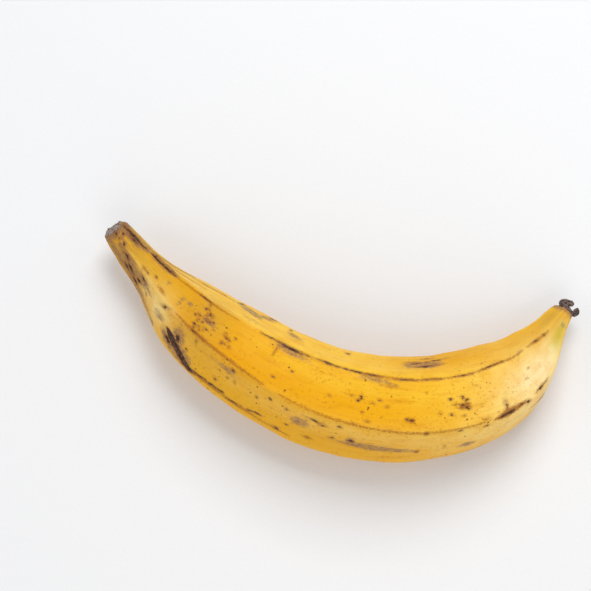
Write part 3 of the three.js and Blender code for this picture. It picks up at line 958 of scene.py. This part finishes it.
class Recipe:
    """The nodes of one material."""

    def __init__(self, name):
        self.material = bpy.data.materials.new(name)
        self.material.use_nodes = True
        self.tree = self.material.node_tree
        self.tree.nodes.clear()

    def add(self, kind, settings=None, sockets=None, out=0):
        """A node of a type: its settings first, then the values or wires of its sockets."""
        node = self.tree.nodes.new("ShaderNode" + kind)
        for key, value in (settings or {}).items():
            setattr(node, key, value)
        for key, value in (sockets or {}).items():
            if isinstance(value, Wire):
                self.tree.links.new(value.socket, node.inputs[key])
            else:
                node.inputs[key].default_value = value
        return Wire(self, node.outputs[out]) if len(node.outputs) else None

    def stored(self, name, out="Fac"):
        """A value stored on the mesh."""
        return self.add("Attribute", {"attribute_name": name}, out=out)

    def noise(self, at, size, detail=3, roughness=0.5, stretch=(1, 1, 1), unit=1.0):
        """Noise in 0..1 with lumps of a size in millimetres. unit is one millimetre in `at`."""
        scaled = [1 / (size * unit * s) for s in stretch]
        place = self.add("VectorMath", {"operation": "MULTIPLY"}, {0: at, 1: scaled})
        sockets = {"Vector": place, "Scale": 1.0, "Detail": detail, "Roughness": roughness}
        return self.add("TexNoise", None, sockets)

    def ramp(self, value, low, high, to_low=0.0, to_high=1.0):
        """A smooth step of a value from low to high."""
        ends = {"From Min": low, "From Max": high, "To Min": to_low, "To Max": to_high}
        return self.add("MapRange", {"interpolation_type": "SMOOTHSTEP"}, {"Value": value, **ends})

    def mix(self, amount, first, second):
        """Two colours mixed. A colour is a wire or red, green and blue."""
        pair = [c if isinstance(c, Wire) else (*c, 1.0) for c in (first, second)]
        settings = {"data_type": "RGBA", "clamp_factor": True}
        return self.add("Mix", settings, {0: amount, 6: pair[0], 7: pair[1]}, out=2)

    def bump(self, height, distance, normal=None):
        """A bump whose full height is a distance in millimetres."""
        sockets = {"Height": height, "Distance": distance * MM, "Strength": 1.0}
        if normal:
            sockets["Normal"] = normal
        return self.add("Bump", None, sockets)

    def surface(self, **sockets):
        """The finished surface. Names of sockets have underscores for spaces."""
        named = {key.replace("_", " "): value for key, value in sockets.items()}
        shader = self.add("BsdfPrincipled", None, named, out="BSDF")
        self.add("OutputMaterial", None, {"Surface": shader})
        return self.material


# %% [markdown]
# ## The peel's finish
#
# The peel is a waxy skin over long fibres. From the outside in: a thin satin wax that softens the
# lights, faint streaks along the fruit where the fibres lie, freckles from insects and rubbing,
# and the stored marks. The stored distances get two sizes of noise before they are cut off, coarse
# for the outline of a bruise and fine for its frayed edge.

# %% Peel material
peel = Recipe("waxy peel")
at = peel.add("TexCoord", out="Object")
grain_at = peel.stored("grain", "Vector")
weathered = peel.stored("weathered")

fray = peel.noise(grain_at, 0.9, detail=4, roughness=0.65, stretch=(1, 1, 1.8))
lump = peel.noise(grain_at, 3.5, detail=2)
ragged = (fray - 0.5) * 2.2 + (lump - 0.5) * 1.8
dark_at = peel.stored("dark") + ragged
dark = peel.ramp(dark_at, -0.15, 0.4)
dark_halo = peel.ramp(dark_at, -1.4, 0.4)
rust_fray = peel.noise(grain_at, 0.55, detail=3, roughness=0.7, stretch=(1, 1, 1.6))
rust = peel.ramp(peel.stored("rust") + (rust_fray - 0.5) * 4.4, -0.8, 0.7)
cloud = peel.noise(grain_at, 2.4, detail=4, roughness=0.6, stretch=(1, 1, 2.4))
smudge = peel.ramp(peel.stored("smudge") + (cloud - 0.5) * 5.5, -1.2, 1.4)
smudge = smudge * peel.ramp(fray, 0.4, 0.6, 0.42, 1.0)

# %% Freckles: a random few of many small cells, and pores in all of the smallest
FRECKLE_CELL, PORE_CELL = 3.2, 1.3
freckle_at = peel.add("VectorMath", {"operation": "SCALE"}, {0: at, "Scale": 1 / (FRECKLE_CELL * MM)})
cell = {"Vector": freckle_at, "Scale": 1.0, "Randomness": 1.0}
freckle_distance = peel.add("TexVoronoi", {"feature": "F1"}, cell, out="Distance")
freckle_chance = peel.add("TexVoronoi", {"feature": "F1"}, cell, out="Color")
freckle_draw = peel.add("SeparateColor", None, {0: freckle_chance}, out=0)
freckled = peel.stored("freckled")
freckle_size = peel.ramp(freckle_draw, 0.45, 1.0, 0.0, 0.17) * freckled
freckle = peel.ramp(freckle_size - freckle_distance, -0.03, 0.04)
pore_at = peel.add("VectorMath", {"operation": "SCALE"}, {0: at, "Scale": 1 / (PORE_CELL * MM)})
pore_cell = {"Vector": pore_at, "Scale": 1.0}
pore_distance = peel.add("TexVoronoi", {"feature": "F1"}, pore_cell, out="Distance")
pore = peel.ramp(pore_distance, 0.22, 0.05)

# %% Tints of the peel and of its cut, as linear red, green and blue
TINTS = {
    "warm patch": (0.8, 0.36, 0.0),
    "blush": (0.68, 0.25, 0.0),
    "fibre": (0.5, 0.2, 0.0),
    "bright fibre": (0.98, 0.66, 0.0),
    "weathered": (0.2, 0.115, 0.06),
    "pore": (0.5, 0.22, 0.02),
    "grit": (0.45, 0.16, 0.005),
    "bruise": (0.185, 0.1, 0.088),
    "rust": (0.36, 0.12, 0.01),
    "halo": (0.27, 0.08, 0.02),
    "freckle": (0.17, 0.06, 0.015),
    "black": (0.028, 0.011, 0.006),
    "worn black": (0.17, 0.09, 0.06),
    "dark rim": (0.13, 0.09, 0.07),
    "pale rim": (0.5, 0.39, 0.34),
    "dark pith": (0.03, 0.02, 0.016),
    "pale pith": (0.2, 0.14, 0.11),
}

# %% Peel colour
streak = peel.noise(grain_at, 0.8, detail=3, roughness=0.6, stretch=(1, 1, 22))
tone = peel.noise(at, 9, detail=3, unit=MM)
colour = peel.stored("ground", "Color")
paleness = peel.add("SeparateColor", None, {0: colour}, out=2)
vivid = peel.ramp(paleness, 0.32, 0.04, 0.3, 1.0)  # the streaks are faint where the peel is pale
colour = peel.mix(peel.ramp(tone, 0.35, 0.7) * 0.35, colour, TINTS["warm patch"])
blush = peel.noise(grain_at, 4, detail=4, roughness=0.6, stretch=(1, 1, 4))
colour = peel.mix(peel.ramp(blush, 0.5, 0.72) * vivid * 0.42, colour, TINTS["blush"])
colour = peel.mix(peel.ramp(streak, 0.5, 0.8) * vivid * 0.26, colour, TINTS["fibre"])
colour = peel.mix(peel.ramp(streak, 0.5, 0.25) * 0.14, colour, TINTS["bright fibre"])
mottle = peel.noise(grain_at, 1.6, detail=5, roughness=0.7, stretch=(1, 1, 7))
colour = peel.mix(weathered * peel.ramp(mottle, 0.47, 0.68) * 0.62, colour, TINTS["weathered"])
colour = peel.mix(pore * 0.12, colour, TINTS["pore"])
grit = peel.noise(at, 1.5, detail=3, roughness=0.7, unit=MM)
patch = peel.noise(at, 11, detail=2, unit=MM)
grit = peel.ramp(grit, 0.56, 0.68) * peel.ramp(patch + freckled * 0.14, 0.42, 0.7)
colour = peel.mix(grit * 0.6, colour, TINTS["grit"])
colour = peel.mix(smudge * 0.82, colour, TINTS["bruise"])
colour = peel.mix(rust * 0.78, colour, TINTS["rust"])
colour = peel.mix(dark_halo * 0.55, colour, TINTS["halo"])
colour = peel.mix(freckle * 0.85, colour, TINTS["freckle"])
dark_inside = peel.mix(peel.ramp(fray, 0.46, 0.64), TINTS["black"], TINTS["worn black"])
colour = peel.mix(dark * 0.95, colour, dark_inside)

# %% The cut stalk's dried fibres
cut_face = peel.stored("cut_face")
cut_noise = peel.noise(at, 0.9, detail=5, roughness=0.7, unit=MM)
rim_colour = peel.mix(peel.ramp(cut_noise, 0.36, 0.56), TINTS["dark rim"], TINTS["pale rim"])
pith_colour = peel.mix(peel.ramp(cut_noise, 0.4, 0.6), TINTS["dark pith"], TINTS["pale pith"])
pith = peel.ramp(peel.stored("cut_depth") + (cut_noise - 0.5) * 0.6, 0.25, 0.45)
cut_colour = peel.mix(pith, rim_colour, pith_colour)
cut_edge = peel.ramp(cut_face + (cut_noise - 0.5) * 0.9, 0.3, 0.7)
colour = peel.mix(cut_edge, colour, cut_colour)

# %% Peel roughness and bump
roughness = 0.4 + tone * 0.1 + (streak - 0.5) * 0.16 + dark * 0.22 + rust * 0.12 + smudge * 0.05
roughness = peel.ramp(roughness + cut_edge * 0.4 + weathered * 0.12, 0.0, 1.0)
fine = peel.noise(at, 0.5, detail=3, unit=MM)
normal = peel.bump(streak, 0.07)
normal = peel.bump(fine, 0.025, normal)
normal = peel.bump(mottle * weathered, 0.35, normal)
normal = peel.bump(fray * dark - rust * 0.3 * rust_fray, 0.16, normal)
normal = peel.bump(cut_noise * cut_edge, 0.8, normal)
peel_finish = peel.surface(
    Base_Color=colour,
    Roughness=roughness,
    Normal=normal,
    Specular_IOR_Level=0.1,
    Coat_Weight=0.05,
    Coat_Roughness=0.28,
)
peel_mesh.materials.append(peel_finish)
print("peel material nodes:", len(peel.tree.nodes))

# %% [markdown]
# ## The dried flower
#
# The black scrap at the tip is what is left of the flower: a ring where it was joined on, one
# broad lobe folded over and one thin lobe curled back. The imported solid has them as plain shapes,
# in the right place. Sculpting them by hand would be slow, so a copy of the solid is rebuilt in tiny
# even cells and crumpled with noise, as drying does, with folds running out from the seat.

# %% Rebuild the flower in fine cells
FLOWER_CELL = 0.16 * MM


def merged_copy(node, name):
    """The CAD node's shape as a new object, its loose triangles joined up."""
    shape = bmesh.new()
    shape.from_mesh(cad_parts[node].data)
    bmesh.ops.remove_doubles(shape, verts=shape.verts, dist=0.002 * MM)
    mesh = bpy.data.meshes.new(name)
    shape.to_mesh(mesh)
    shape.free()
    piece = bpy.data.objects.new(name, mesh)
    bpy.context.scene.collection.objects.link(piece)
    return piece


def plain_mesh(piece):
    """Turns a piece with modifiers into the mesh they make, and removes them."""
    graph = bpy.context.evaluated_depsgraph_get()
    made = bpy.data.meshes.new_from_object(piece.evaluated_get(graph))
    piece.modifiers.clear()
    piece.data = made
    made.name = piece.name
    return made


flower_piece = merged_copy("flower_remnant", "dried_flower")
cells = flower_piece.modifiers.new("cells", "REMESH")
cells.mode = "VOXEL"
cells.voxel_size = FLOWER_CELL
flower_mesh = plain_mesh(flower_piece)
print("points in the flower:", len(flower_mesh.vertices))

# %% Crumple it
PLUMP, FREE_FROM = 0.22, 1.2  # the lobes swell, but not within this height of the seat
FOLD_DEPTH, FOLD_WIDTH, FOLD_LENGTH = 0.24, 0.9, 3.5
LUMP_DEPTH, LUMP_SIZE = 0.18, 1.8
GRIT_DEPTH, GRIT_SIZE = 0.04, 0.45
every_way = {"use_axis_x": True, "use_axis_y": True, "use_axis_z": True}
shape = bmesh.new()
shape.from_mesh(flower_mesh)
for _ in range(3):
    bmesh.ops.smooth_vert(shape, verts=shape.verts, factor=0.5, **every_way)
shape.normal_update()
flower_axis = Vector(seat_normal)
flower_seat = Vector(seat_middle)
for vert in shape.verts:
    out = (vert.co - flower_seat).dot(flower_axis)
    across = vert.co - flower_seat - flower_axis * out
    folded = noise.noise(across / (FOLD_WIDTH * MM) + flower_axis * out / (FOLD_LENGTH * MM))
    lumped = noise.fractal(vert.co / (LUMP_SIZE * MM), 1.0, 2.0, 3)
    gritty = noise.noise(vert.co / (GRIT_SIZE * MM))
    free = min(1, max(0, out / (FREE_FROM * MM)))
    move = (PLUMP + FOLD_DEPTH * folded + LUMP_DEPTH * lumped) * free + GRIT_DEPTH * gritty
    vert.co += vert.normal * (move * MM)
shape.to_mesh(flower_mesh)
shape.free()
flower_mesh.shade_smooth()

# %% Dried tissue material
tissue = Recipe("dried tissue")
tissue_at = tissue.add("TexCoord", out="Object")
patchy = tissue.noise(tissue_at, 1.3, detail=4, roughness=0.65, unit=MM)
fibrous = tissue.noise(tissue_at, 0.35, detail=3, roughness=0.6, stretch=(5, 1, 1), unit=MM)
SHRIVELLED, WITHERED, PALE_FIBRE = (0.03, 0.019, 0.017), (0.2, 0.13, 0.11), (0.4, 0.3, 0.27)
tissue_colour = tissue.mix(tissue.ramp(patchy, 0.42, 0.62), SHRIVELLED, WITHERED)
tissue_colour = tissue.mix(tissue.ramp(fibrous, 0.5, 0.7) * 0.65, tissue_colour, PALE_FIBRE)
tissue_normal = tissue.bump(fibrous, 0.12)
tissue_normal = tissue.bump(patchy, 0.2, tissue_normal)
tissue_finish = tissue.surface(
    Base_Color=tissue_colour,
    Roughness=0.62 + patchy * 0.25,
    Normal=tissue_normal,
    Specular_IOR_Level=0.35,
)
flower_mesh.materials.append(tissue_finish)

# %% [markdown]
# ## Torn fibres
#
# Wherever the plant was cut or withered, the ends of its fibre bundles stand out of the surface as
# short bristles: about a hundred on the stalk's cut, and fewer and finer ones on the flower.
# Setting each by hand makes no sense: this is scattering, which Geometry Nodes does well. One tree
# puts points on a surface, stands a thin tapered bristle on each, tilts and scales it at random,
# and gives all of them a material.

# %% The bristle tree, with named inputs
CONE_SIDES = 5
TOP_SHARE = 0.35  # the thickness of a bristle's end against its foot
SMALLEST, LARGEST = 0.4, 1.3


def bristle_tree():
    tree = bpy.data.node_groups.new("torn fibres", "GeometryNodeTree")
    inputs = [
        ("Surface", "NodeSocketGeometry", None),
        ("Per square metre", "NodeSocketFloat", 1e6),
        ("Length", "NodeSocketFloat", 1 * MM),
        ("Thickness", "NodeSocketFloat", 0.1 * MM),
        ("Tilt", "NodeSocketFloat", 0.4),
        ("Seed", "NodeSocketInt", 1),
        ("Finish", "NodeSocketMaterial", None),
    ]
    for name, kind, default in inputs:
        socket = tree.interface.new_socket(name, in_out="INPUT", socket_type=kind)
        if default is not None:
            socket.default_value = default
    tree.interface.new_socket("Bristles", in_out="OUTPUT", socket_type="NodeSocketGeometry")

    def add(kind, settings=None, sockets=None):
        node = tree.nodes.new(kind)
        for key, value in (settings or {}).items():
            setattr(node, key, value)
        for key, value in (sockets or {}).items():
            if isinstance(value, bpy.types.NodeSocket):
                tree.links.new(value, node.inputs[key])
            else:
                node.inputs[key].default_value = value
        return node

    given = add("NodeGroupInput").outputs
    points = add(
        "GeometryNodeDistributePointsOnFaces",
        {"distribute_method": "RANDOM"},
        {"Mesh": given["Surface"], "Density": given["Per square metre"], "Seed": given["Seed"]},
    ).outputs
    cone = add(
        "GeometryNodeMeshCone",
        {"fill_type": "NGON"},
        {"Vertices": CONE_SIDES, "Radius Bottom": given["Thickness"], "Depth": given["Length"]},
    )
    narrow = add("ShaderNodeMath", {"operation": "MULTIPLY"}, {0: given["Thickness"], 1: TOP_SHARE})
    tree.links.new(narrow.outputs[0], cone.inputs["Radius Top"])
    lean = add("ShaderNodeMath", {"operation": "MULTIPLY"}, {0: given["Tilt"], 1: -1.0})
    lowest = add("ShaderNodeCombineXYZ", None, {0: lean.outputs[0], 1: lean.outputs[0], 2: -math.pi})
    highest = add("ShaderNodeCombineXYZ", None, {0: given["Tilt"], 1: given["Tilt"], 2: math.pi})
    tilt = add(
        "FunctionNodeRandomValue",
        {"data_type": "FLOAT_VECTOR"},
        {"Min": lowest.outputs[0], "Max": highest.outputs[0], "Seed": given["Seed"]},
    )
    turned = add(
        "FunctionNodeRotateRotation",
        {"rotation_space": "LOCAL"},
        {"Rotation": points["Rotation"], "Rotate By": tilt.outputs["Value"]},
    )
    size = add(
        "FunctionNodeRandomValue",
        {"data_type": "FLOAT"},
        {2: SMALLEST, 3: LARGEST, "Seed": given["Seed"]},
    )
    placed = add(
        "GeometryNodeInstanceOnPoints",
        None,
        {
            "Points": points["Points"],
            "Instance": cone.outputs["Mesh"],
            "Rotation": turned.outputs[0],
            "Scale": size.outputs[1],
        },
    )
    real = add("GeometryNodeRealizeInstances", None, {"Geometry": placed.outputs["Instances"]})
    dressed = {"Geometry": real.outputs[0], "Material": given["Finish"]}
    finish = add("GeometryNodeSetMaterial", None, dressed)
    add("NodeGroupOutput", None, {"Bristles": finish.outputs[0]})
    return tree


bristles = bristle_tree()


def grow_bristles(name, surface, **inputs):
    """A piece of bristles on a surface mesh. Input names have underscores for spaces."""
    piece = bpy.data.objects.new(name, surface)
    bpy.context.scene.collection.objects.link(piece)
    modifier = piece.modifiers.new("bristles", "NODES")
    modifier.node_group = bristles
    sockets = bristles.interface.items_tree
    ids = {socket.name: socket.identifier for socket in sockets if socket.in_out == "INPUT"}
    for key, value in inputs.items():
        modifier[ids[key.replace("_", " ")]] = value
    mesh = plain_mesh(piece)
    print(name, "has", len(mesh.polygons), "faces")
    return piece


# %% Bristles on the cut and on the flower


def patch_of(mesh, keeps, name):
    """The faces of a mesh whose middle passes a test, as a new mesh."""
    part = bmesh.new()
    part.from_mesh(mesh)
    others = [face for face in part.faces if not keeps(face.calc_center_median())]
    bmesh.ops.delete(part, geom=others, context="FACES")
    patch = bpy.data.meshes.new(name)
    part.to_mesh(patch)
    part.free()
    return patch


SOFT_SHARE = 0.72  # of the way from the cut's middle to its rim
CUT_BELOW = 0.6 * MM  # how far under the rim the cut's face may lie
LOBES_ABOVE = 1.5 * MM  # the flower's lobes are this far out from its seat
cut_edge_reach = float(np.linalg.norm(skin[0] - skin[0].mean(axis=0), axis=1).max())
cut_centre = Vector(skin[0].mean(axis=0))


def on_cut(point):
    """On the soft middle of the cut, inside its rim."""
    away = point - cut_centre
    return away.length < cut_edge_reach * SOFT_SHARE and away.dot(cut_normal) > -CUT_BELOW


def on_flower(point):
    """On the lobes, clear of the seat."""
    return (point - flower_seat).dot(flower_axis) > LOBES_ABOVE


cut_patch = patch_of(peel_mesh, on_cut, "cut_patch")
flower_patch = patch_of(flower_mesh, on_flower, "flower_patch")
stalk_fibres = grow_bristles(
    "stalk_fibres",
    cut_patch,
    Per_square_metre=1.8e6,
    Length=0.7 * MM,
    Thickness=0.13 * MM,
    Tilt=0.5,
    Seed=4,
    Finish=tissue_finish,
)
flower_fibres = grow_bristles(
    "flower_fibres",
    flower_patch,
    Per_square_metre=0.5e6,
    Length=0.5 * MM,
    Thickness=0.06 * MM,
    Tilt=1.0,
    Seed=9,
    Finish=tissue_finish,
)

# %% [markdown]
# ## The table, the lights and the camera
#
# The fruit lies on a plain pale table that runs out of view on all sides. A large soft light stands
# high over the inner side of the bow, a larger one fills the outer side, two weak ones light the
# flower's end and the neck, and pale surroundings lift the shadow. Hard small lamps would put sharp
# highlights on the wax; large ones keep them broad and soft.

# %% Table
TABLE_HALF = 2.5
low, high = cad_box
table_mesh = bpy.data.meshes.new("table")
corners = [(-1, -1), (1, -1), (1, 1), (-1, 1)]  # anticlockwise, so that the table faces up
table_points = [(x * TABLE_HALF, y * TABLE_HALF, low.z) for x, y in corners]
table_mesh.from_pydata(table_points, [], [(0, 1, 2, 3)])
table = bpy.data.objects.new("table", table_mesh)
bpy.context.scene.collection.objects.link(table)

paper = Recipe("pale table")
paper_at = paper.add("TexCoord", out="Object")
paper_grain = paper.noise(paper_at, 1.5, detail=3, unit=MM)
paper_colour = paper.mix(paper_grain, (0.82, 0.825, 0.84), (0.86, 0.865, 0.875))
paper_finish = paper.surface(
    Base_Color=paper_colour,
    Roughness=0.75,
    Specular_IOR_Level=0.15,
    Normal=paper.bump(paper_grain, 0.02),
)
table_mesh.materials.append(paper_finish)
table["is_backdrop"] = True

# %% Lights
CENTRE = (low + high) / 2


def way_back(azimuth, elevation):
    """The direction from the fruit to a place round it. Azimuth 0 is the bow's outer side."""
    a, e = math.radians(azimuth), math.radians(elevation)
    return Vector((math.sin(a) * math.cos(e), -math.cos(a) * math.cos(e), math.sin(e)))


def soft_light(name, azimuth, elevation, distance, size, watts):
    """A square white light aimed at the middle of the fruit."""
    back = way_back(azimuth, elevation)
    lamp = bpy.data.lights.new(name, "AREA")
    lamp.shape = "SQUARE"
    lamp.size = size
    lamp.energy = watts
    holder = bpy.data.objects.new(name, lamp)
    holder.location = CENTRE + back * distance
    holder.rotation_euler = (-back).to_track_quat("-Z", "Y").to_euler()
    bpy.context.scene.collection.objects.link(holder)


soft_light("key", azimuth=172, elevation=54, distance=1.3, size=0.8, watts=10.2)
soft_light("fill", azimuth=22, elevation=34, distance=1.5, size=1.3, watts=8.0)
soft_light("side", azimuth=100, elevation=35, distance=1.4, size=0.8, watts=1)
soft_light("neck", azimuth=-60, elevation=30, distance=1.4, size=1.0, watts=3.2)

SURROUNDINGS = 0.41
world = bpy.data.worlds.new("studio")
world.use_nodes = True
world.node_tree.nodes["Background"].inputs["Color"].default_value = (1, 1, 1, 1)
world.node_tree.nodes["Background"].inputs["Strength"].default_value = SURROUNDINGS
bpy.context.scene.world = world
bpy.context.scene.view_settings.view_transform = "Standard"

# %% Camera
LENS = 85
AZIMUTH, ELEVATION, ROLL = 20.67, 74.8, -10.85
DISTANCE = 666.2 * MM
AIM_OFF_CENTRE = Vector((-18.3, 23.64, -0.36)) * MM  # a little towards the stalk and the inner side

back = way_back(AZIMUTH, ELEVATION)
right = (-back).cross(Vector((0, 0, 1))).normalized()
upward = right.cross(-back)
roll = math.radians(ROLL)
camera_x = right * math.cos(roll) + upward * math.sin(roll)
camera_y = upward * math.cos(roll) - right * math.sin(roll)
lens = bpy.data.cameras.new("camera")
lens.lens = LENS
camera = bpy.data.objects.new("camera", lens)
camera.matrix_world = Matrix((camera_x, camera_y, back)).transposed().to_4x4()
camera.location = Vector((0, 0, CENTRE.z)) + AIM_OFF_CENTRE + back * DISTANCE
bpy.context.scene.collection.objects.link(camera)
bpy.context.scene.camera = camera

# %% [markdown]
# ## Attaching the pieces
#
# Every piece rides on the one body there is, and the imported solid that it stands for is hidden.

# %% Pieces, bodies and finishes
HANDED_OVER = [
    (peel_piece, "fruit", "peel"),
    (stalk_fibres, "fruit", "dried_tissue"),
    (flower_piece, "flower_remnant", "dried_tissue"),
    (flower_fibres, "flower_remnant", "dried_tissue"),
]
for piece, node, slot in HANDED_OVER:
    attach(piece, "root")
    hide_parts(node)

# %% Size of the finished object against the solid
bpy.context.view_layer.update()
visual_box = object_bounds()
for corner, new, old in zip(("low", "high"), visual_box, cad_box):
    print(corner, "corner moved by, in mm:", [round((v - c) / MM, 2) for v, c in zip(new, old)])
